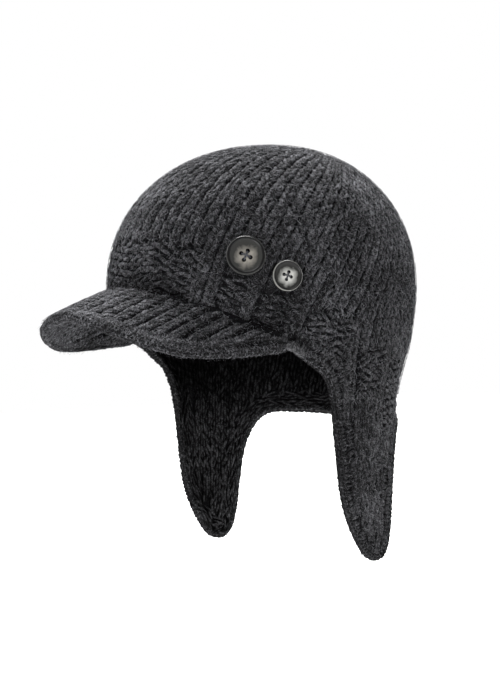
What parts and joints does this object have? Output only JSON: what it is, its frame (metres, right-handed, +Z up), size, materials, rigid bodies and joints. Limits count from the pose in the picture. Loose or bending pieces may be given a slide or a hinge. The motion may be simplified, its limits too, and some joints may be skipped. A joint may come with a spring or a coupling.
{
  "type": "knitted winter cap with ear flaps and peak",
  "caption": "Chunky knitted winter cap: hollow domed crown with long ear flaps, a short downturned peak and sewn-on decorative buttons at one temple",
  "frame": {"origin": "inside top of the crown, where the cap rests on a head", "axes": "peak towards -Y, wearer's left (the side with the buttons) towards +X, crown up along +Z; worn form"},
  "size_m": [0.1704, 0.2504, 0.2517],
  "materials": {
    "wool": "chunky brushed knit, matte",
    "horn_grey": "polished",
    "horn_light": "polished",
    "thread": "matte"
  },
  "bodies": {
    "root": {"crown_with_ear_flaps": "wool", "peak": "wool", "button_large": "horn_grey", "button_small": "horn_light", "button_large_thread": "thread", "button_small_thread": "thread"}
  },
  "joints": []
}
